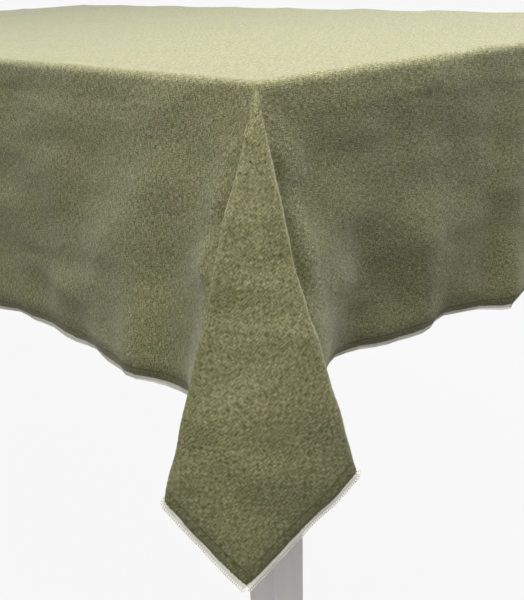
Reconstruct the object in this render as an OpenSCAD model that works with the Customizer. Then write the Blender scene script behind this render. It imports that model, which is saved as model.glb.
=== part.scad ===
// Rectangular dining table with a draped linen tablecloth.
// Origin: centre of the footprint, on the floor. +X along the long side, -Y is the front, +Z up.

/* [Table] */
// Length of the table top, along X
table_l = 1400; // [1000:10:1600]
// Width of the table top, along Y
table_w = 800; // [700:10:1000]
// Height of the table top above the floor
table_h = 750; // [700:5:780]
// Thickness of the top board
top_t = 25; // [18:1:40]
// Distance from the edge of the top to the outside of a leg
leg_inset = 25; // [10:1:60]
// Width of a leg at the top
leg_w = 50; // [45:1:70]
// Width of a leg at the foot
foot_w = 32; // [28:1:45]
// Height of the apron boards
apron_h = 90; // [80:1:120]
// Thickness of the apron boards
apron_t = 20; // [18:1:25]

/* [Cloth] */
// Overhang of the cloth below the table top, without its edging
drop = 300; // [200:5:450]
// Depth of the sewn-on edging
trim_d = 8; // [5:1:20]
// Thickness of the plain cloth solids
cloth_t = 1; // [0.8:0.1:2]
// How far a corner fold's tip stands out past the table, along X and along Y
tip_out = 80; // [60:1:160]
// How far a corner fold's tip hangs below the hem line
tip_drop = 108; // [60:1:150]
// How far a corner fold's outer edge stands out past its own side of the table
edge_out = 118; // [90:1:200]
// How far a corner fold's outer edge stands out past the other side of the table
edge_in = 10; // [5:1:60]
// How far a corner fold's outer edge hangs below the hem line
edge_drop = 34; // [20:1:60]
// Width that a corner fold takes from each side, at the hem
fold_w = 86; // [60:1:200]

/* [Fasteners] */
// Diameter of a hanger bolt
bolt_d = 8; // [6:1:10]
// Length of a hanger bolt
bolt_l = 76; // [70:1:90]
// Diameter of a wood screw
screw_d = 4; // [3:0.5:5]
// Length of a wood screw under its head
screw_l = 16; // [12:1:18]
// Thickness of the steel corner brackets and clips
steel_t = 2.5; // [2:0.5:4]

/* [Hidden] */

wood = [0.88, 0.87, 0.84];
steel = [0.72, 0.73, 0.74];
linen = [0.45, 0.45, 0.34];
cream = [0.95, 0.93, 0.85];
nylon = [0.9, 0.9, 0.88];

$fn = 40;
EPS = 0.01;
half_l = table_l / 2;
half_w = table_w / 2;
chamfer = 2;
apron_setback = 8;
glide_h = 6;
glide_d = 24;
pin_d = 3;
pin_l = 18;
running = 0.1;

under_top = table_h - top_t;
leg_in = leg_inset + leg_w;
apron_out = leg_inset + apron_setback;
apron_in = apron_out + apron_t;
apron_z = under_top - apron_h;

// Corner joint, measured from the table's corner inwards
leg_cut = 12;
bracket_h = 70;
bracket_sum = 2 * leg_in + 18;
flange_l = 28;
bolt_z = under_top - apron_h / 2;
bolt_in_leg = 38;
washer_d = 22;
washer_t = 2;
nut_d = 14;
nut_t = 9;
wing_l = 11;
wing_t = 3;

// Clips that hold the top to the aprons
clip_w = 30;
clip_leaf = 30;
clip_x = [-350, 0, 350];

// Cloth
gap = 0.5;
side_gap = 1;
hem_z = table_h - drop;
skin_in = side_gap;
skin_out = side_gap + cloth_t;
// Centre of a fold's wall where it lies against the hanging sides
wall_at = -skin_out - cloth_t / 2 - 0.05;

// ---------- shared shapes ----------

module chamfered_rect(a, b, c) {
  polygon([
    [c, 0], [a - c, 0], [a, c], [a, b - c],
    [a - c, b], [c, b], [0, b - c], [0, c]
  ]);
}

// A board with all its edges eased
module eased_board(l, w, t, c) {
  intersection() {
    linear_extrude(t) chamfered_rect(l, w, c);
    rotate([90, 0, 90]) linear_extrude(l) chamfered_rect(w, t, c);
    translate([0, w, 0]) rotate([90, 0, 0]) linear_extrude(w) chamfered_rect(l, t, c);
  }
}

// Puts a corner's pieces, drawn inwards from the table's own corner, at one of the four corners
module at_corner(sx, sy) {
  mirror([sx > 0 ? 1 : 0, 0, 0])
    mirror([0, sy > 0 ? 1 : 0, 0])
      translate([-half_l, -half_w, 0]) children();
}

module at_all_corners() {
  for (sx = [-1, 1])
    for (sy = [-1, 1])
      at_corner(sx, sy) children();
}

// Puts a drawing made for the front at the back, and one made for the left at the right
module at_back() {
  mirror([0, 1, 0]) children();
}

module at_right() {
  mirror([1, 0, 0]) children();
}

// ---------- fasteners ----------

// Pan-head wood screw along +Z, with the underside of its head at z = 0
module wood_screw() {
  translate([0, 0, -screw_l]) cylinder(d = screw_d, h = screw_l + EPS);
  cylinder(d = 2 * screw_d, h = 2);
}

// The pilot hole that a wood screw sits in
module screw_hole() {
  translate([0, 0, -screw_l - 1]) cylinder(d = screw_d + running, h = screw_l + 5);
}

// The frame of a corner's bolt: on the leg's cut face, +Z pointing into the room under the table
module on_leg_cut() {
  half_sum = leg_in - leg_cut / 2;
  translate([half_sum, half_sum, bolt_z]) rotate([0, 90, 45]) children();
}

bolt_to_plate = (bracket_sum - 2 * leg_in + leg_cut) / sqrt(2);

module on_bracket_flanges() {
  for (dz = [-20, 20]) {
    along = bracket_sum - apron_in + flange_l / 2 + 2;
    translate([along, apron_in + steel_t, bolt_z + dz]) rotate([-90, 0, 0]) children();
    translate([apron_in + steel_t, along, bolt_z + dz]) rotate([0, 90, 0]) children();
  }
}

// Clip frames: X along the apron, Y away from it into the room, origin on the inner top edge of the apron
module at_clips() {
  for (x = clip_x) {
    translate([x, -half_w + apron_in, under_top]) children();
    translate([x, half_w - apron_in, under_top]) rotate([0, 0, 180]) children();
  }
  translate([half_l - apron_in, 0, under_top]) rotate([0, 0, 90]) children();
  translate([-half_l + apron_in, 0, under_top]) rotate([0, 0, -90]) children();
}

module at_clip_apron_screw() {
  translate([0, steel_t, -clip_leaf / 2 - 4]) rotate([-90, 0, 0]) children();
}

module at_clip_top_screw() {
  translate([0, clip_leaf / 2 + 4, -steel_t]) rotate([180, 0, 0]) children();
}

// ---------- table ----------

module table_top() {
  color(wood) difference() {
    translate([-half_l, -half_w, under_top]) eased_board(table_l, table_w, top_t, chamfer);
    at_clips() at_clip_top_screw() screw_hole();
  }
}

module long_apron() {
  color(wood) difference() {
    translate([-half_l + leg_in, -half_w + apron_out, apron_z])
      eased_board(table_l - 2 * leg_in, apron_t, apron_h, 1);
    at_all_corners() on_bracket_flanges() screw_hole();
    at_clips() at_clip_apron_screw() screw_hole();
  }
}

module short_apron() {
  color(wood) difference() {
    translate([-half_l + apron_out, -half_w + leg_in, apron_z])
      eased_board(apron_t, table_w - 2 * leg_in, apron_h, 1);
    at_all_corners() on_bracket_flanges() screw_hole();
    at_clips() at_clip_apron_screw() screw_hole();
  }
}

module apron_front() { long_apron(); }
module apron_back() { at_back() long_apron(); }
module apron_left() { short_apron(); }
module apron_right() { at_right() short_apron(); }

// Outline of a leg from the side: straight outside, tapered inside below the apron
module leg_side() {
  polygon([
    [0, glide_h], [foot_w, glide_h], [leg_w, apron_z - 20],
    [leg_w, under_top], [0, under_top]
  ]);
}

module leg() {
  color(wood) difference() {
    translate([leg_inset, leg_inset, 0]) intersection() {
      translate([0, leg_w, 0]) rotate([90, 0, 0]) linear_extrude(leg_w) leg_side();
      rotate([90, 0, 90]) linear_extrude(leg_w) leg_side();
      linear_extrude(under_top) chamfered_rect(leg_w, leg_w, chamfer);
    }
    // flat across the inner corner, where the bolt enters
    translate([leg_in, leg_in, apron_z - 5]) rotate([0, 0, 45])
      translate([-leg_cut / sqrt(2), -leg_w, 0]) cube([leg_w, 2 * leg_w, apron_h + 10]);
    on_leg_cut() translate([0, 0, -bolt_in_leg]) cylinder(d = bolt_d + running, h = bolt_in_leg + 5);
    translate([leg_inset + foot_w / 2, leg_inset + foot_w / 2, glide_h - 1])
      cylinder(d = pin_d + running, h = pin_l + 1);
  }
}

module leg_front_left() { at_corner(-1, -1) leg(); }
module leg_front_right() { at_corner(1, -1) leg(); }
module leg_back_left() { at_corner(-1, 1) leg(); }
module leg_back_right() { at_corner(1, 1) leg(); }

// Sheet-steel plate across the corner, with a flange against each apron
module bracket() {
  far = bracket_sum - apron_in;
  z0 = bolt_z - bracket_h / 2;
  color(steel) difference() {
    union() {
      translate([far - 2, apron_in, z0]) cube([flange_l + 2, steel_t, bracket_h]);
      translate([apron_in, far - 2, z0]) cube([steel_t, flange_l + 2, bracket_h]);
      translate([0, 0, z0]) linear_extrude(bracket_h) polygon([
        [far, apron_in], [far + steel_t * sqrt(2), apron_in],
        [apron_in, far + steel_t * sqrt(2)], [apron_in, far]
      ]);
    }
    on_leg_cut() cylinder(d = bolt_d + 1, h = 2 * bolt_to_plate);
    on_bracket_flanges() screw_hole();
  }
}

module bracket_front_left() { at_corner(-1, -1) bracket(); }
module bracket_front_right() { at_corner(1, -1) bracket(); }
module bracket_back_left() { at_corner(-1, 1) bracket(); }
module bracket_back_right() { at_corner(1, 1) bracket(); }

// Nylon glide with a nail that is knocked up into the foot
module glide() {
  color(nylon) translate([leg_inset + foot_w / 2, leg_inset + foot_w / 2, 0]) {
    cylinder(d = glide_d, h = glide_h);
    cylinder(d = pin_d, h = glide_h + pin_l - 1);
  }
}

module glide_front_left() { at_corner(-1, -1) glide(); }
module glide_front_right() { at_corner(1, -1) glide(); }
module glide_back_left() { at_corner(-1, 1) glide(); }
module glide_back_right() { at_corner(1, 1) glide(); }

module hanger_bolts() {
  color(steel) at_all_corners() on_leg_cut()
    translate([0, 0, -bolt_in_leg]) cylinder(d = bolt_d, h = bolt_l);
}

module bolt_washers() {
  color(steel) at_all_corners() on_leg_cut()
    translate([0, 0, bolt_to_plate + steel_t]) difference() {
      cylinder(d = washer_d, h = washer_t);
      translate([0, 0, -1]) cylinder(d = bolt_d + running, h = washer_t + 2);
    }
}

module wing_nuts() {
  color(steel) at_all_corners() on_leg_cut()
    translate([0, 0, bolt_to_plate + steel_t + washer_t]) difference() {
      union() {
        cylinder(d = nut_d, h = nut_t);
        for (side = [-1, 1])
          translate([side * (nut_d / 2 + wing_l / 2 - 1), 0, nut_t / 2 + 2])
            cube([wing_l + 2, wing_t, nut_t], center = true);
      }
      translate([0, 0, -1]) cylinder(d = bolt_d + running, h = nut_t + 10);
    }
}

module bracket_screws() {
  color(steel) at_all_corners() on_bracket_flanges() wood_screw();
}

module top_clips() {
  color(steel) at_clips() difference() {
    union() {
      translate([-clip_w / 2, 0, -clip_leaf]) cube([clip_w, steel_t, clip_leaf]);
      translate([-clip_w / 2, 0, -steel_t]) cube([clip_w, clip_leaf, steel_t]);
    }
    at_clip_apron_screw() screw_hole();
    at_clip_top_screw() screw_hole();
  }
}

module clip_screws() {
  color(steel) at_clips() {
    at_clip_apron_screw() wood_screw();
    at_clip_top_screw() wood_screw();
  }
}

// ---------- cloth ----------

module cloth_top_panel() {
  color(linen) translate([-half_l - skin_out, -half_w - skin_out, table_h + gap])
    cube([table_l + 2 * skin_out, table_w + 2 * skin_out, cloth_t]);
}

// One hanging side, narrower at the hem where the corner folds take the cloth, drawn upright at the origin
module drop_panel(side_l) {
  top_z = table_h + gap;
  rotate([90, 0, 0]) linear_extrude(cloth_t) polygon([
    [-side_l / 2 - skin_out, top_z], [side_l / 2 + skin_out, top_z],
    [side_l / 2 - fold_w, hem_z], [-side_l / 2 + fold_w, hem_z]
  ]);
}

module cloth_drop_front() {
  color(linen) translate([0, -half_w - skin_in, 0]) drop_panel(table_l);
}

module cloth_drop_back() { at_back() cloth_drop_front(); }

module cloth_drop_left() {
  color(linen) translate([-half_l - skin_in, 0, 0]) rotate([0, 0, -90]) drop_panel(table_w);
}

module cloth_drop_right() { at_right() cloth_drop_left(); }

// The spare cloth at a corner stands out along the diagonal as a broad flap, with a return behind
// each of its edges. Points are measured from the table's corner inwards, so outside it is negative.
fold_apex = [wall_at, wall_at, table_h - 1];
fold_tip = [-tip_out, -tip_out, hem_z - tip_drop];
end_edge = [-edge_out, -edge_in, hem_z - edge_drop];
long_edge = [-edge_in, -edge_out, hem_z - edge_drop];
end_root = [wall_at, fold_w, hem_z + cloth_t];
long_root = [fold_w, wall_at, hem_z + cloth_t];

// A flat three-cornered piece of cloth
module gore(a, b, c) {
  hull() {
    for (p = [a, b, c])
      translate(p) cube(cloth_t, center = true);
  }
}

module corner_fold() {
  color(linen) union() {
    gore(fold_apex, end_edge, fold_tip);
    gore(fold_apex, fold_tip, long_edge);
    gore(fold_apex, end_edge, end_root);
    gore(fold_apex, long_edge, long_root);
  }
}

module cloth_fold_front_left() { at_corner(-1, -1) corner_fold(); }
module cloth_fold_front_right() { at_corner(1, -1) corner_fold(); }
module cloth_fold_back_left() { at_corner(-1, 1) corner_fold(); }
module cloth_fold_back_right() { at_corner(1, 1) corner_fold(); }

// A strip of edging that hangs below the line from p to q, clear of the cloth however steep that line is
module trim_strip(p, q) {
  steep = abs(p[2] - q[2]) / norm([p[0] - q[0], p[1] - q[1]]);
  hull() {
    for (end = [p, q])
      translate([end[0], end[1], end[2] - trim_d / 2 - (0.6 + 1.5 * steep) * cloth_t])
        cube([cloth_t, cloth_t, trim_d], center = true);
  }
}

// Edging of one end of a long side: out along the fold's return, then down the flap to its tip
module corner_trim() {
  stop = fold_tip + [3, 0, 0];
  trim_strip(long_root + [0, 0, -cloth_t], long_edge);
  trim_strip(long_edge, stop);
}

module straight_trim(side_l) {
  run = side_l - 2 * fold_w - 2 * cloth_t;
  translate([-run / 2, -skin_out, hem_z - trim_d - 0.1]) cube([run, cloth_t, trim_d]);
}

module front_trim() {
  color(cream) union() {
    translate([0, -half_w, 0]) straight_trim(table_l);
    at_corner(-1, -1) corner_trim();
    at_corner(1, -1) corner_trim();
  }
}

// The same along an end, where the pieces of the fold are swapped about the diagonal
module left_trim() {
  color(cream) union() {
    translate([-half_l, 0, 0]) rotate([0, 0, -90]) straight_trim(table_w);
    for (sy = [-1, 1])
      at_corner(-1, sy) mirror([1, -1, 0]) corner_trim();
  }
}

module trim_front() { front_trim(); }
module trim_back() { at_back() front_trim(); }
module trim_left() { left_trim(); }
module trim_right() { at_right() left_trim(); }

// ---------- parts ----------

table_top();
apron_front();
apron_back();
apron_left();
apron_right();
leg_front_left();
leg_front_right();
leg_back_left();
leg_back_right();
bracket_front_left();
bracket_front_right();
bracket_back_left();
bracket_back_right();
glide_front_left();
glide_front_right();
glide_back_left();
glide_back_right();
hanger_bolts();
bolt_washers();
wing_nuts();
bracket_screws();
top_clips();
clip_screws();
cloth_top_panel();
cloth_drop_front();
cloth_drop_back();
cloth_drop_left();
cloth_drop_right();
cloth_fold_front_left();
cloth_fold_front_right();
cloth_fold_back_left();
cloth_fold_back_right();
trim_front();
trim_back();
trim_left();
trim_right();
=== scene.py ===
# %% [markdown]
# # A linen tablecloth on a table
# The table under the cloth is already built as solid parts, and this lesson dresses it. We drape one
# sheet of linen over it, sew a cream edging round the hem, and give the linen, the edging, the wood
# and the metal their own materials. Everything is in metres, with the floor at z = 0.

# %% Load the frame
import bpy
import math
import numpy as np
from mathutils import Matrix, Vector


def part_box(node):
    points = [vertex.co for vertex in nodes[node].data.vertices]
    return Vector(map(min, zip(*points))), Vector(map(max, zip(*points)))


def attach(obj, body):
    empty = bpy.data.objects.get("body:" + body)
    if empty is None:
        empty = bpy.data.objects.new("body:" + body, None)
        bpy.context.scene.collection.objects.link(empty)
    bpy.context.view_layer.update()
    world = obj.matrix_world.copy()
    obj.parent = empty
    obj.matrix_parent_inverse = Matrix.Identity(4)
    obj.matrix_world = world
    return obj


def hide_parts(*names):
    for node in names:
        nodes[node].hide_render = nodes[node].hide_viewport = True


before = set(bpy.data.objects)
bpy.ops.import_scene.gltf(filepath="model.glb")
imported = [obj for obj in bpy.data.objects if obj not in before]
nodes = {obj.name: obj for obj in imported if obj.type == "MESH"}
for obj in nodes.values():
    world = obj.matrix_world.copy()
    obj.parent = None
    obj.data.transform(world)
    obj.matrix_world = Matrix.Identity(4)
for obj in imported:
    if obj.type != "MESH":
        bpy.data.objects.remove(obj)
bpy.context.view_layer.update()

TOP_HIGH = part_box("table_top")[1]
HALF_L = TOP_HIGH[0]
HALF_W = TOP_HIGH[1]
TABLE_H = TOP_HIGH[2]
DROP = 0.3
print("table top", 2 * HALF_L, "by", 2 * HALF_W, "at", TABLE_H)

# %% [markdown]
# ## Camera
# The view is a close one of the table's front right corner, from a little above the top. We place the
# camera by its distance from that corner and aim it with three angles, so that it is easy to adjust.

# %% Camera
CAMERA_OUT = (0.662, 0.619, 0.106)
CAMERA_HEADING = math.radians(137.02)
CAMERA_DOWN = math.radians(17.97)
CAMERA_ROLL = math.radians(-2.12)
CAMERA_LENS = 43.32


def add_camera():
    data = bpy.data.cameras.new("camera")
    camera = bpy.data.objects.new("camera", data)
    bpy.context.scene.collection.objects.link(camera)
    camera.location = (HALF_L + CAMERA_OUT[0], -HALF_W - CAMERA_OUT[1], TABLE_H + CAMERA_OUT[2])
    flat = math.cos(CAMERA_DOWN)
    heading = (flat * math.cos(CAMERA_HEADING), flat * math.sin(CAMERA_HEADING), -math.sin(CAMERA_DOWN))
    forward = Vector(heading)
    turn = forward.to_track_quat("-Z", "Y").to_euler()
    camera.rotation_euler = turn
    camera.rotation_euler.rotate_axis("Z", CAMERA_ROLL)
    data.sensor_fit = "VERTICAL"
    data.sensor_height = 24
    data.lens = CAMERA_LENS
    bpy.context.scene.camera = camera
    return camera


camera = add_camera()
print("camera at", [round(x, 3) for x in camera.location])

# %% [markdown]
# ## Floor and light
# A plain pale floor and a large overhead softbox. The top of the table faces the softbox and the sides
# don't, which is what makes the top so much paler than the hanging sides. The camera sees the floor
# almost as bright as the backdrop of a photo studio, with only a faint shadow.

# %% Floor and light
bpy.context.scene.view_settings.view_transform = "Standard"
FLOOR_GREY = 0.12
FLOOR_GLOW = 0.93
ROOM_LIGHT = 0.44


def make_floor_paint():
    material = bpy.data.materials.new("floor_paint")
    material.use_nodes = True
    tree = material.node_tree
    paint = tree.nodes["Principled BSDF"]
    paint.inputs["Base Color"].default_value = (FLOOR_GREY, FLOOR_GREY, FLOOR_GREY, 1)
    paint.inputs["Roughness"].default_value = 0.9
    glow = tree.nodes.new("ShaderNodeEmission")
    glow.inputs["Color"].default_value = (1, 1, 1, 1)
    rays = tree.nodes.new("ShaderNodeLightPath")
    share = tree.nodes.new("ShaderNodeMath")
    share.operation = "MULTIPLY"
    share.inputs[1].default_value = FLOOR_GLOW
    mix = tree.nodes.new("ShaderNodeMixShader")
    tree.links.new(rays.outputs["Is Camera Ray"], share.inputs[0])
    tree.links.new(share.outputs[0], mix.inputs[0])
    tree.links.new(paint.outputs[0], mix.inputs[1])
    tree.links.new(glow.outputs[0], mix.inputs[2])
    tree.links.new(mix.outputs[0], tree.nodes["Material Output"].inputs["Surface"])
    return material


def add_floor():
    bpy.ops.object.select_all(action="DESELECT")
    bpy.ops.mesh.primitive_plane_add(size=60, location=(0, 0, 0))
    floor = bpy.context.object
    floor.name = "floor"
    bpy.ops.object.transform_apply(location=True, scale=True)
    floor.data.materials.append(make_floor_paint())


def add_area_light(name, location, target, size, power):
    data = bpy.data.lights.new(name, "AREA")
    data.shape = "RECTANGLE"
    data.size, data.size_y = size
    data.energy = power
    light = bpy.data.objects.new(name, data)
    light.location = location
    aim = Vector(target) - Vector(location)
    light.rotation_euler = aim.to_track_quat("-Z", "Y").to_euler()
    bpy.context.scene.collection.objects.link(light)


add_floor()
add_area_light("overhead", (0.64, -0.26, 2.1), (0.5, -0.22, TABLE_H), (1.2, 1.2), 37)
add_area_light("window", (0.6, 2.6, 2.1), (0.2, 0, TABLE_H), (2.4, 1.6), 74)
add_area_light("front_fill", (1.8, -2.6, 1.9), (0.6, -0.4, 0.6), (1.6, 1.6), 24)


def make_studio():
    """An even, dim room that looks white where the camera sees it."""
    world = bpy.data.worlds.new("studio")
    world.use_nodes = True
    tree = world.node_tree
    room = tree.nodes["Background"]
    room.inputs["Color"].default_value = (1, 1, 1, 1)
    room.inputs["Strength"].default_value = ROOM_LIGHT
    backdrop = tree.nodes.new("ShaderNodeBackground")
    backdrop.inputs["Color"].default_value = (1, 1, 1, 1)
    rays = tree.nodes.new("ShaderNodeLightPath")
    mix = tree.nodes.new("ShaderNodeMixShader")
    tree.links.new(rays.outputs["Is Camera Ray"], mix.inputs[0])
    tree.links.new(room.outputs[0], mix.inputs[1])
    tree.links.new(backdrop.outputs[0], mix.inputs[2])
    tree.links.new(mix.outputs[0], tree.nodes["World Output"].inputs["Surface"])
    bpy.context.scene.world = world


make_studio()
print("floor, softbox and fill light placed")

# %% [markdown]
# ## Shader maths as Python
# A material's node tree is easier to read as sums and products. This small class wraps a socket, so
# that an expression such as `1 - mask` adds its own Math node, and `node` makes every other node.

# %% Shader helpers


class Value:
    """A number that changes over the surface: a socket that can be added, multiplied and so on."""

    def __init__(self, painter, socket):
        self.painter = painter
        self.socket = socket

    def math(self, operation, *others):
        return self.painter.node("ShaderNodeMath", {"operation": operation}, self, *others)

    def __add__(self, other):
        return self.math("ADD", other)

    def __mul__(self, other):
        return self.math("MULTIPLY", other)

    def __sub__(self, other):
        return self.math("SUBTRACT", other)

    def __rsub__(self, other):
        return self.painter.node("ShaderNodeMath", {"operation": "SUBTRACT"}, other, self)


class Painter:
    """Builds one material's nodes."""

    def __init__(self, name, roughness=0.6):
        self.material = bpy.data.materials.new(name)
        self.material.use_nodes = True
        self.tree = self.material.node_tree
        self.shader = self.tree.nodes["Principled BSDF"]
        self.shader.inputs["Roughness"].default_value = roughness

    def set_input(self, socket, value):
        if isinstance(value, Value):
            self.tree.links.new(value.socket, socket)
        else:
            socket.default_value = value

    def node(self, kind, settings, *values, out=0, **named):
        made = self.tree.nodes.new(kind)
        for key, value in settings.items():
            setattr(made, key, value)
        for socket, value in zip(made.inputs, values):
            self.set_input(socket, value)
        for key, value in named.items():
            self.set_input(made.inputs[key], value)
        return Value(self, made.outputs[out])

    def coordinates(self, kind, scale=(1, 1, 1)):
        source = self.tree.nodes.new("ShaderNodeTexCoord")
        place = Value(self, source.outputs[kind])
        return self.node("ShaderNodeMapping", {}, Vector=place, Scale=scale)

    def noise(self, place, scale=1.0, detail=2.0, roughness=0.5, distortion=0.0):
        return self.node(
            "ShaderNodeTexNoise", {}, Vector=place, Scale=scale, Detail=detail,
            Roughness=roughness, Distortion=distortion,
        )

    def spread(self, value, low, high, to_low=0.0, to_high=1.0):
        return self.node("ShaderNodeMapRange", {}, value, low, high, to_low, to_high)

    def mix(self, factor, one, two):
        made = self.tree.nodes.new("ShaderNodeMix")
        made.data_type = "RGBA"
        self.set_input(made.inputs["Factor"], factor)
        colors = [s for s in made.inputs if s.type == "RGBA"]
        for socket, color in zip(colors, (one, two)):
            self.set_input(socket, color if isinstance(color, Value) else (*color, 1))
        return Value(self, [s for s in made.outputs if s.type == "RGBA"][0])

    def finish(self, color, roughness=None, height=None, distance=0.001, strength=1.0):
        self.set_input(self.shader.inputs["Base Color"], color)
        if roughness is not None:
            self.set_input(self.shader.inputs["Roughness"], roughness)
        if height is not None:
            bump = self.node("ShaderNodeBump", {}, Height=height, Distance=distance, Strength=strength)
            self.set_input(self.shader.inputs["Normal"], bump)
        return self.material


# %% [markdown]
# ## Linen
# Heathered linen is woven from yarns of two shades, so every thread runs lighter and darker along its
# length. Threads are thickest where the yarn has slubs, a centimetre or two long. The pattern follows
# the cloth's own flat coordinates, kept in its UV map, so the weave turns with every fold. Along the
# edge the linen is folded double and sewn with a line of stitches, and the band is painted darker as
# painted shade of the hem curling inwards.

# %% Linen
CLOTH_SPAN = 2.0
THREAD = 0.0006
THREAD_RUN = 0.0045
SLUB = 0.0011
SLUB_RUN = 0.016
FLECK = 0.0007
BLOTCH = 0.006
LINEN_DARK = (0.074, 0.072, 0.028)
LINEN_MID = (0.190, 0.187, 0.076)
LINEN_PALE = (0.42, 0.415, 0.24)
HEM_FOLD = 0.011
STITCH = 0.0095
HEM_SOFT = 0.0006


def from_edge(p):
    """Distance from the cloth's edge in metres, measured on the flat cloth."""
    place = p.coordinates("UV")
    across = p.node("ShaderNodeSeparateXYZ", {}, place, out=0)
    along = p.node("ShaderNodeSeparateXYZ", {}, place, out=1)
    to_end = (HALF_L + DROP) / CLOTH_SPAN - (across - 0.5).math("ABSOLUTE")
    to_side = (HALF_W + DROP) / CLOTH_SPAN - (along - 0.5).math("ABSOLUTE")
    return to_end.math("MINIMUM", to_side) * CLOTH_SPAN


def make_linen():
    p = Painter("linen", 0.85)
    across = p.noise(p.coordinates("UV", (CLOTH_SPAN / THREAD, CLOTH_SPAN / THREAD_RUN, 1)), 1, 2, 0.6)
    along = p.noise(p.coordinates("UV", (CLOTH_SPAN / THREAD_RUN, CLOTH_SPAN / THREAD, 1)), 1, 2, 0.6)
    slubs = p.noise(p.coordinates("UV", (CLOTH_SPAN / SLUB, CLOTH_SPAN / SLUB_RUN, 1)), 1, 2, 0.6)
    flecks = p.noise(p.coordinates("UV", (CLOTH_SPAN / FLECK,) * 3), 1, 2, 0.7)
    blotches = p.noise(p.coordinates("UV", (CLOTH_SPAN / BLOTCH,) * 3), 1, 3, 0.6)
    threads = (across + along) * 0.5
    heather = threads * 0.60 + flecks * 0.24 + slubs * 0.12 + blotches * 0.04
    low = p.spread(heather, 0.44, 0.50)
    high = p.spread(heather, 0.50, 0.56)
    color = p.mix(low, LINEN_DARK, LINEN_MID)
    color = p.mix(high, color, LINEN_PALE)
    edge = from_edge(p)
    # The hem band, within HEM_FOLD of the edge: raised in the bump as the doubled fold, and darkened in
    # colour as painted shade.
    hem = p.spread(edge, HEM_FOLD, HEM_FOLD - HEM_SOFT)
    stitch = hem * p.spread(edge, STITCH - HEM_SOFT, STITCH)
    # Painted shade: the hem band is darkened towards LINEN_DARK as the shade of the hem curling inwards, and
    # the line of stitches adds its own darker line.
    color = p.mix(hem * 0.28 + stitch * 0.35, color, LINEN_DARK)
    crumple = p.noise(p.coordinates("UV", (CLOTH_SPAN / 0.03, CLOTH_SPAN / 0.02, 1)), 1, 1.5, 0.5, 0.8)
    height = threads * 0.15 + crumple + hem * 0.7 - stitch * 0.8
    p.shader.inputs["Sheen Weight"].default_value = 0.32
    p.shader.inputs["Sheen Roughness"].default_value = 0.5
    p.shader.inputs["Sheen Tint"].default_value = (0.90, 0.90, 0.84, 1)
    p.shader.inputs["Specular IOR Level"].default_value = 0.15
    return p.finish(color=color, height=height, distance=0.0012, strength=0.8)


linen = make_linen()

# %% [markdown]
# ## Cotton for the edging
# The edging is a cream cotton tape with small loops, so its threads are fine, pale and slightly uneven.

# %% Cotton


def make_cotton():
    p = Painter("cotton_edging", 0.8)
    fine = p.noise(p.coordinates("Object", (900, 900, 900)), 1, 2, 0.6)
    soft = p.noise(p.coordinates("Object", (60, 60, 60)), 1, 2, 0.6)
    color = p.mix(p.spread(fine * 0.7 + soft * 0.3, 0.35, 0.65), (0.86, 0.83, 0.66), (0.98, 0.97, 0.86))
    p.shader.inputs["Sheen Weight"].default_value = 0.2
    return p.finish(color=color, height=fine, distance=0.0005, strength=0.6)


cotton = make_cotton()

# %% [markdown]
# ## The hem line, laid out in plan
# A square cloth has a square of spare cloth at each corner of the table. It hangs as one broad flap
# that faces outwards, with the rest tucked back behind both its edges. The two lists say where points
# along the hem come to rest, seen from above. `out` is measured away from the table's end and `front`
# away from its long side, both from the table's corner, and `run` is the distance along the hem from
# the cloth's own corner. Most of the rows are numbers that a separate program worked out, to the
# millimetre, so they are data and not a shape drawn by hand. The last six of LONG_RUNS are given one
# by one.

# %% Hem line of one corner
END_RUNS = [
    # run, out, front
    (0.000, 0.059, 0.088),
    (0.138, 0.099, -0.020),
    (0.240, 0.001, -0.020),
    (0.284, 0.021, -0.061),
    (0.377, -0.046, -0.133),
    (0.403, -0.034, -0.152),
    (0.434, -0.024, -0.179),
    (0.488, -0.022, -0.230),
    (0.529, -0.027, -0.268),
    (0.568, -0.034, -0.303),
    (0.595, -0.034, -0.327),
    (0.620, -0.024, -0.345),
    (0.665, -0.011, -0.380),
    (0.700, -0.008, -0.400),
]
LONG_RUNS = [
    (0.000, 0.059, 0.088),
    (0.101, -0.013, 0.121),
    (0.214, 0.004, 0.012),
    (0.279, -0.040, 0.060),
    (0.366, -0.110, 0.008),
    (0.396, -0.133, 0.028),
    (0.418, -0.151, 0.042),
    (0.432, -0.163, 0.048),
    (0.461, -0.190, 0.037),
    (0.493, -0.220, 0.025),
    (0.520, -0.246, 0.019),
    (0.561, -0.285, 0.005),
    (0.591, -0.315, 0.002),
    (0.625, -0.349, -0.003),
    (0.696, -0.417, -0.001),
    (0.735, -0.453, 0.012),
    (0.785, -0.498, -0.010),
    (0.835, -0.543, 0.012),
    (0.885, -0.589, -0.008),
    (0.935, -0.635, 0.008),
    (1.000, -0.700, 0.000),
]
HEM_STEP = 0.002
SOFT_FOLD = 0.005
SOFT_WAVE = 0.011
SHARP_RUNS = (-0.138, 0.101)
TUCK_RUNS = (-0.240, 0.214)


def smooth_along(runs, values):
    """Rounds the hem line: tightly at the flap's two edges, softly everywhere else."""
    out = np.empty_like(values)
    for i, run in enumerate(runs):
        nearest = min(abs(run - sharp) for sharp in SHARP_RUNS)
        width = SOFT_FOLD + (SOFT_WAVE - SOFT_FOLD) * min(1.0, max(0.0, nearest - 0.01) / 0.05)
        weight = np.exp(-0.5 * ((runs - run) / width) ** 2)
        out[i] = (weight[:, None] * values).sum(0) / weight.sum()
    return out


def hem_plan():
    """Signed run (negative on the table's end, positive on its long side) and the place in plan."""
    points = [(-run, out, front) for run, out, front in reversed(END_RUNS[1:])] + list(LONG_RUNS)
    points = np.array(points)
    runs = np.arange(points[0, 0], points[-1, 0] + HEM_STEP / 2, HEM_STEP)
    plan = np.stack([np.interp(runs, points[:, 0], points[:, k]) for k in (1, 2)], 1)
    return runs, smooth_along(runs, plan)


PLAN_RUNS, PLAN = hem_plan()
print("hem line of one corner:", len(PLAN_RUNS), "points")

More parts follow.
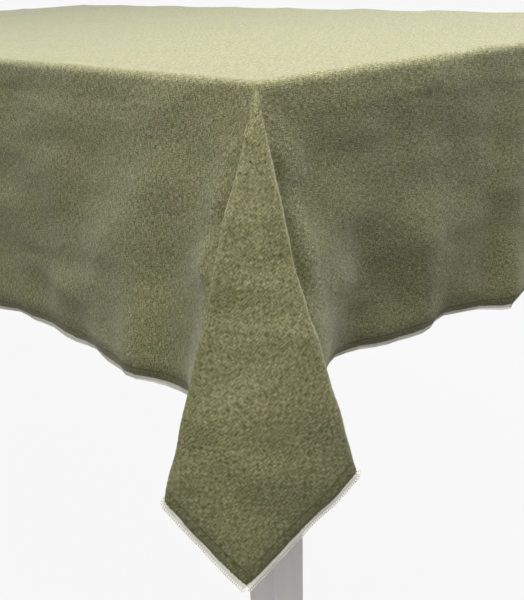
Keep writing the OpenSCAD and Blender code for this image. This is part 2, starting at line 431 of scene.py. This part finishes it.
# %% [markdown]
# ## From the flat cloth to the draped one
# Every point of the flat sheet is carried to a first guess of its place. On the table it stays flat.
# A hanging side is spanned by straight lines from the table's edge to the hem line, and a corner by
# straight lines from the table's corner, each as long as on the flat cloth, so hardly any of the
# cloth is stretched. The edge itself is a quarter round, the cloth hangs straight down past the board's
# own thickness before it turns inwards anywhere, and the broad flap bulges outwards a little.

# %% First guess of the drape
EDGE_R = 0.006
LIE = 0.0016
ARC = EDGE_R * math.pi / 4
PROUD = EDGE_R * (1 - math.pi / 4)
BOARD = 0.032
BULGE = 0.020
FLAP_FACING = np.array([0.56, 0.83, 0.0])


def edge_profile(past):
    """How far out and how far down the cloth is, that far past the table's edge along the cloth."""
    if past <= -ARC:
        return past, 0.0
    if past >= ARC:
        return PROUD, -(past + PROUD)
    angle = (past + ARC) / EDGE_R
    return -ARC + EDGE_R * math.sin(angle), -EDGE_R * (1 - math.cos(angle))


def hem_place(run):
    return np.array([np.interp(run, PLAN_RUNS, PLAN[:, 0]), np.interp(run, PLAN_RUNS, PLAN[:, 1])])


def draped_corner(u, v):
    """Draped place of a point u past the table's end and v past its long side, from the table's corner."""
    if u <= -ARC and v <= -ARC:
        return u, v, 0.0
    if u > 0 and v > 0:
        radius = math.hypot(u, v)
        longer = max(u, v)
        share = longer / DROP
        length = radius / share
        run = -(DROP - v / share) if u >= v else DROP - u / share
        out, front = hem_place(run)
        level = math.hypot(out, front)
        down = math.sqrt(max(length ** 2 - level ** 2, 1e-6))
        place = np.array([out, front, -down]) * share
        facing = np.interp(run, (TUCK_RUNS[0], *SHARP_RUNS, TUCK_RUNS[1]), (0.0, 1.0, 1.0, 0.0))
        bulge = BULGE * 4 * share * (1 - share) * facing
        place += bulge * FLAP_FACING
        corner_ease = PROUD * (1 - math.exp(-radius / EDGE_R))
        return place[0] + corner_ease, place[1] + corner_ease, place[2] - corner_ease
    if u >= v:
        along, past, run = v, u, -(DROP - v)
    else:
        along, past, run = u, v, DROP - u
    away, down = edge_profile(past)
    if past <= ARC:
        return (away, along, down) if u >= v else (along, away, down)
    share = (past - ARC) / (DROP - ARC)
    out, front = hem_place(run)
    swing, slide = (out, front - along) if u >= v else (front, out - along)
    level = math.hypot(swing, slide) / DROP
    down = -EDGE_R - (past - ARC) * math.sqrt(1 - min(level, 0.9) ** 2)
    if swing < 0:
        share_in = max(0.0, past - BOARD) / (DROP - BOARD)
    else:
        share_in = share
    side = (away + swing * share_in, along + slide * share, down)
    return side if u >= v else (side[1], side[0], side[2])


# %% [markdown]
# The four corners of a real drape are alike but never the same. The other three use the same hem line
# with its waves a little weaker or stronger.

# %% Sheet of linen
FINE = 0.0042
COARSE = 0.02
EDGE_ZONE = 0.016
CORNER_SWING = {(-1, -1): 0.88, (1, -1): 1.0, (-1, 1): 0.94, (1, 1): 1.08}


def grid_lines(half):
    fine = np.linspace(half - EDGE_ZONE, half + DROP, int(round((DROP + EDGE_ZONE) / FINE)) + 1)
    middle = np.linspace(-half + EDGE_ZONE, half - EDGE_ZONE, int(round(2 * (half - EDGE_ZONE) / COARSE)) + 1)
    return np.concatenate([-fine[::-1], middle[1:-1], fine])


def swung(value, swing):
    """Scales what stands outside the table, and leaves what is on or under it."""
    share = min(1.0, max(0.0, value / 0.04))
    return value * (1 + (swing - 1) * share * share * (3 - 2 * share))


def drape_point(x, y):
    sx = 1 if x >= 0 else -1
    sy = 1 if y >= 0 else -1
    out, front, down = draped_corner(abs(x) - HALF_L, abs(y) - HALF_W)
    swing = CORNER_SWING[(sx, sy)]
    return sx * (HALF_L + swung(out, swing)), sy * (HALF_W + swung(front, swing)), TABLE_H + LIE + down


xs = grid_lines(HALF_L)
ys = grid_lines(HALF_W)
flat_points = np.array([(x, y, TABLE_H + LIE) for x in xs for y in ys])
draped_points = np.array([drape_point(x, y) for x, y, z in flat_points])
COLUMNS, ROWS = len(xs), len(ys)
print("cloth grid", COLUMNS, "by", ROWS)


def add_sheet():
    quads = [
        (i * ROWS + j, (i + 1) * ROWS + j, (i + 1) * ROWS + j + 1, i * ROWS + j + 1)
        for i in range(COLUMNS - 1) for j in range(ROWS - 1)
    ]
    mesh = bpy.data.meshes.new("linen_cloth")
    mesh.from_pydata(draped_points.tolist(), [], quads)
    mesh.update()
    layer = mesh.uv_layers.new(name="UVMap")
    corners = np.empty(len(mesh.loops), dtype=np.int32)
    mesh.loops.foreach_get("vertex_index", corners)
    uv = flat_points[corners, :2] / CLOTH_SPAN + 0.5
    layer.data.foreach_set("uv", uv.astype(np.float32).ravel())
    sheet = bpy.data.objects.new("linen_cloth", mesh)
    bpy.context.scene.collection.objects.link(sheet)
    return sheet


cloth = add_sheet()

# %% [markdown]
# ## Letting it hang
# Now Blender's cloth simulation lets the sheet settle under its own weight. The laid part and the
# cloth over the board's edge are pinned, and the rest is held softly near the first guess, most of all
# at the hem. A second shape key tells the solver how large the cloth is when it is flat, so that it
# takes out stretch that is in the first guess.

# %% Cloth simulation
SETTLE_FRAMES = 14
HEM_HOLD = 0.35
FREE_HOLD = 0.06


def settle(sheet):
    basis = sheet.shape_key_add(name="Basis")
    rest = sheet.shape_key_add(name="flat")
    rest.data.foreach_set("co", flat_points.astype(np.float32).ravel())
    rest.value = 0.0
    pins = sheet.vertex_groups.new(name="held")
    for i, (x, y, z) in enumerate(flat_points):
        past = max(abs(x) - HALF_L, abs(y) - HALF_W)
        if past < BOARD:
            pins.add([i], 1.0, "REPLACE")
        else:
            share = (past - BOARD) / (DROP - BOARD)
            pins.add([i], FREE_HOLD + (HEM_HOLD - FREE_HOLD) * share ** 3, "REPLACE")
    modifier = sheet.modifiers.new("hang", "CLOTH")
    cloth_settings = modifier.settings
    cloth_settings.vertex_group_mass = "held"
    cloth_settings.rest_shape_key = rest
    cloth_settings.quality = 8
    cloth_settings.mass = 0.002
    cloth_settings.pin_stiffness = 1.0
    cloth_settings.tension_stiffness = 30
    cloth_settings.compression_stiffness = 30
    cloth_settings.shear_stiffness = 10
    cloth_settings.bending_stiffness = 0.8
    cloth_settings.tension_damping = 15
    cloth_settings.compression_damping = 15
    cloth_settings.shear_damping = 15
    cloth_settings.bending_damping = 5
    cloth_settings.air_damping = 6
    modifier.collision_settings.use_collision = False
    modifier.collision_settings.use_self_collision = False
    modifier.point_cache.frame_end = SETTLE_FRAMES
    for step in range(1, SETTLE_FRAMES + 1):
        bpy.context.scene.frame_set(step)
    shaped = sheet.evaluated_get(bpy.context.evaluated_depsgraph_get())
    places = np.empty(3 * len(shaped.data.vertices), dtype=np.float32)
    shaped.data.vertices.foreach_get("co", places)
    sheet.modifiers.remove(modifier)
    sheet.shape_key_clear()
    sheet.data.vertices.foreach_set("co", places)
    sheet.data.update()
    return places.reshape(-1, 3).astype(float)


settled = settle(cloth)
print("settled from", settled.min(0).round(3), "to", settled.max(0).round(3))

# %% [markdown]
# ## Crumples and the curl of the hem
# Linen keeps shallow creases from its folding and washing, and its turned hem rolls slightly inwards.
# Both are small moves of the points along the cloth's own normal.

# %% Crumples and hem curl
EASE_PASSES = 3
EASE_ZONE = 0.02
RIPPLE = 0.0032
CURL = 0.006
CURL_WIDTH = 0.022
WAVES = [
    # height, wavelength, direction in the cloth
    (0.0012, 0.170, 8), (0.0007, 0.098, 80), (0.0005, 0.067, 130), (0.0003, 0.049, 55),
    (0.0002, 0.037, 160),
]


def cloth_normals(points):
    grid = points.reshape(COLUMNS, ROWS, 3)
    normal = np.cross(np.gradient(grid, axis=0), np.gradient(grid, axis=1))
    normal /= np.linalg.norm(normal, axis=2, keepdims=True) + 1e-12
    return normal.reshape(-1, 3)


def ease(points):
    """Takes the kinks out of the hanging cloth, and leaves the laid part and its edge alone."""
    grid = points.reshape(COLUMNS, ROWS, 3).copy()
    past = np.maximum(abs(flat_points[:, 0]) - HALF_L, abs(flat_points[:, 1]) - HALF_W)
    share = np.clip((past.reshape(COLUMNS, ROWS, 1) - BOARD) / EASE_ZONE, 0, 1) * 0.5
    for _ in range(EASE_PASSES):
        for axis in (0, 1):
            middle = np.moveaxis(grid, axis, 0)
            part = np.moveaxis(share, axis, 0)[1:-1]
            middle[1:-1] += part * ((middle[:-2] + middle[2:]) / 2 - middle[1:-1])
    return grid.reshape(-1, 3)


def crumple(points):
    x, y = flat_points[:, 0], flat_points[:, 1]
    bend_x = x + 0.02 * np.sin(y * 21 + 1.3) + 0.012 * np.sin(x * 37 + y * 11)
    bend_y = y + 0.02 * np.sin(x * 17 + 0.4) + 0.012 * np.sin(y * 41 - x * 13)
    height = np.zeros(len(points))
    for size, length, heading in WAVES:
        angle = math.radians(heading)
        phase = (bend_x * math.cos(angle) + bend_y * math.sin(angle)) / length * 2 * math.pi
        height += size * np.sin(phase + heading)
    past = np.maximum(abs(x) - HALF_L, abs(y) - HALF_W)
    along = np.where(abs(y) - HALF_W > abs(x) - HALF_L, x, y)
    fade = np.clip(-np.minimum(abs(x) - HALF_L, abs(y) - HALF_W) / 0.12, 0, 1) * np.clip(past / DROP, 0, 1)
    turns = 2 * math.pi * along
    height += RIPPLE * fade * (np.sin(turns / 0.19 + 1.0) + 0.6 * np.sin(turns / 0.083 + 2.2))
    laid = np.clip(-past / 0.01, 0, 1)
    inward = 0.0003 + 0.01 * np.clip((past - 0.02) / 0.06, 0, 1)
    lift = np.maximum(height * (1 - 0.6 * laid), -inward)
    to_hem = DROP - past
    corner = np.clip((np.minimum(abs(x) - HALF_L, abs(y) - HALF_W) - 0.02) / 0.1, 0, 1)
    curl = CURL * np.clip(1 - to_hem / CURL_WIDTH, 0, 1) ** 1.6 * (1 - 0.8 * corner)
    return points + cloth_normals(points) * (lift - curl)[:, None]


shaped = crumple(ease(settled))
cloth.data.vertices.foreach_set("co", shaped.astype(np.float32).ravel())
cloth.data.update()
cloth.data.materials.append(linen)
cloth.data.polygons.foreach_set("use_smooth", [True] * len(cloth.data.polygons))

# %% Thickness of the linen
THICKNESS = 0.0006
thicken = cloth.modifiers.new("thickness", "SOLIDIFY")
thicken.thickness = THICKNESS
thicken.offset = 1.0
bpy.ops.object.select_all(action="DESELECT")
bpy.context.view_layer.objects.active = cloth
cloth.select_set(True)
bpy.ops.object.modifier_apply(modifier="thickness")
cloth.select_set(False)
print("linen cloth:", len(cloth.data.polygons), "faces")

# %% [markdown]
# ## Edging
# The edging is a narrow tape sewn below the hem, with a row of small loops along its lower edge. It
# follows the draped hem, so it is built from the cloth's own outermost points, one length for each side.

# %% Edging
SIDES = ("front", "back", "left", "right")
TAPE = 0.0034
TAPE_T = 0.0012
TAPE_LAP = 0.0006
LOOP_LAP = 0.0004
LOOP_PITCH = 0.0021
LOOP_LENGTH = 0.0030
LOOP_WIDTH = 0.0024
LOOP_THREAD = 0.00045
LOOP_SIDES = 4
LOOP_STEPS = 6


def side_hem(side):
    """The hem's points along one side, with the direction that continues the cloth past it."""
    grid = shaped.reshape(COLUMNS, ROWS, 3)
    if side == "front":
        line, inner = grid[:, 0], grid[:, 2]
    elif side == "back":
        line, inner = grid[::-1, -1], grid[::-1, -3]
    elif side == "left":
        line, inner = grid[0, ::-1], grid[2, ::-1]
    else:
        line, inner = grid[-1], grid[-3]
    onward = line - inner
    onward /= np.linalg.norm(onward, axis=1, keepdims=True)
    return line, onward


def resample(line, onward, pitch):
    steps = np.linalg.norm(np.diff(line, axis=0), axis=1)
    gone = np.concatenate([[0], np.cumsum(steps)])
    count = max(2, int(round(gone[-1] / pitch)) + 1)
    at = np.linspace(0, gone[-1], count)
    places = np.stack([np.interp(at, gone, line[:, k]) for k in range(3)], 1)
    ways = np.stack([np.interp(at, gone, onward[:, k]) for k in range(3)], 1)
    ways /= np.linalg.norm(ways, axis=1, keepdims=True)
    tangent = np.gradient(places, axis=0)
    tangent /= np.linalg.norm(tangent, axis=1, keepdims=True) + 1e-12
    ways -= tangent * (ways * tangent).sum(1, keepdims=True)
    ways /= np.linalg.norm(ways, axis=1, keepdims=True) + 1e-12
    return places, ways, tangent, np.cross(tangent, ways)


def tape_mesh(side, verts, faces):
    places, ways, tangent, facing = resample(*side_hem(side), LOOP_PITCH)
    base = len(verts)
    ring = [(-TAPE_LAP, -1), (TAPE, -1), (TAPE, 1), (-TAPE_LAP, 1)]
    for place, way, face in zip(places, ways, facing):
        verts.extend(place + way * down + face * (sign * TAPE_T / 2) for down, sign in ring)
    count = len(places)
    for i in range(count - 1):
        for k in range(4):
            a = base + 4 * i + k
            b = base + 4 * i + (k + 1) % 4
            faces.append((a, b, b + 4, a + 4))
    faces.append((base + 3, base + 2, base + 1, base))
    end = base + 4 * (count - 1)
    faces.append((end, end + 1, end + 2, end + 3))


def loop_mesh(side, verts, faces):
    places, ways, tangent, facing = resample(*side_hem(side), LOOP_PITCH)
    for place, way, along, face in zip(places, ways, tangent, facing):
        base = len(verts)
        for step in range(LOOP_STEPS):
            angle = math.pi * step / (LOOP_STEPS - 1)
            centre = place + way * (TAPE - LOOP_LAP + LOOP_LENGTH * math.sin(angle))
            centre = centre + along * (LOOP_WIDTH / 2 * math.cos(angle))
            outward = way * math.sin(angle) + along * math.cos(angle)
            for k in range(LOOP_SIDES):
                turn = 2 * math.pi * k / LOOP_SIDES
                verts.append(centre + (outward * math.cos(turn) + face * math.sin(turn)) * LOOP_THREAD)
        for step in range(LOOP_STEPS - 1):
            for k in range(LOOP_SIDES):
                a = base + LOOP_SIDES * step + k
                b = base + LOOP_SIDES * step + (k + 1) % LOOP_SIDES
                faces.append((a, b, b + LOOP_SIDES, a + LOOP_SIDES))
        last = base + LOOP_SIDES * (LOOP_STEPS - 1)
        faces.append(tuple(base + k for k in reversed(range(LOOP_SIDES))))
        faces.append(tuple(last + k for k in range(LOOP_SIDES)))


def add_edging(side):
    verts, faces = [], []
    tape_mesh(side, verts, faces)
    loop_mesh(side, verts, faces)
    mesh = bpy.data.meshes.new("edging_" + side)
    mesh.from_pydata([tuple(v) for v in verts], [], faces)
    mesh.update()
    piece = bpy.data.objects.new("edging_" + side, mesh)
    bpy.context.scene.collection.objects.link(piece)
    bpy.ops.object.select_all(action="DESELECT")
    piece.select_set(True)
    bpy.context.view_layer.objects.active = piece
    bpy.ops.object.mode_set(mode="EDIT")
    bpy.ops.mesh.select_all(action="SELECT")
    bpy.ops.mesh.normals_make_consistent(inside=False)
    bpy.ops.object.mode_set(mode="OBJECT")
    piece.select_set(False)
    mesh.materials.append(cotton)
    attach(piece, "cloth")
    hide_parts("trim_" + side)
    return piece


edgings = [add_edging(side) for side in SIDES]
print("edging faces:", [len(piece.data.polygons) for piece in edgings])

# %% [markdown]
# ## Telling the frame about the cloth
# The sheet rides on the cloth's own body and stands for the plain solids.

CORNERS = ("front_left", "front_right", "back_left", "back_right")
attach(cloth, "cloth")
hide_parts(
    "cloth_top_panel", *("cloth_drop_" + side for side in SIDES),
    *("cloth_fold_" + corner for corner in CORNERS),
)

# %% [markdown]
# ## Wood, steel and nylon of the table
# The parts of the table keep their own shapes, and only get better finishes. The wood is painted white
# and its grain shows faintly through the paint. Each board's grain runs along its length, so the pattern
# is turned for the boards that run front to back and for the legs.

# %% Table finishes


def make_painted_wood(name, stretch):
    p = Painter(name, 0.4)
    grain = p.noise(p.coordinates("Object", stretch), 1, 4, 0.55, 0.6)
    brush = p.noise(p.coordinates("Object", tuple(12 * s for s in stretch)), 1, 2, 0.6)
    color = p.mix(p.spread(grain, 0.35, 0.65), (0.80, 0.79, 0.75), (0.86, 0.85, 0.82))
    rough = p.spread(brush, 0.3, 0.7, 0.36, 0.48)
    height = (grain + brush) * 0.5
    return p.finish(color=color, roughness=rough, height=height, distance=0.0004, strength=0.3)


def make_zinc():
    p = Painter("zinc_steel", 0.35)
    p.shader.inputs["Metallic"].default_value = 1.0
    spangle = p.noise(p.coordinates("Object", (90, 90, 90)), 1, 3, 0.6)
    color = p.mix(p.spread(spangle, 0.35, 0.65), (0.55, 0.56, 0.58), (0.72, 0.73, 0.74))
    return p.finish(color=color, roughness=p.spread(spangle, 0.3, 0.7, 0.28, 0.45))


def make_nylon():
    p = Painter("nylon", 0.5)
    speck = p.noise(p.coordinates("Object", (300, 300, 300)), 1, 2, 0.6)
    color = p.mix(speck, (0.74, 0.74, 0.70), (0.84, 0.84, 0.81))
    return p.finish(color=color, height=speck, distance=0.0002, strength=0.4)


paint_x = make_painted_wood("painted_long", (2.0, 22, 22))
paint_y = make_painted_wood("painted_across", (22, 2.0, 22))
paint_z = make_painted_wood("painted_leg", (30, 30, 2.5))
zinc = make_zinc()
nylon = make_nylon()


def finish_for(name):
    if name in ("table_top", "apron_front", "apron_back"):
        return paint_x
    if name in ("apron_left", "apron_right"):
        return paint_y
    if name.startswith("leg_"):
        return paint_z
    if name.startswith("glide_"):
        return nylon
    return zinc


for name, node in nodes.items():
    if not name.startswith(("cloth_", "trim_")):
        node.data.materials.clear()
        node.data.materials.append(finish_for(name))
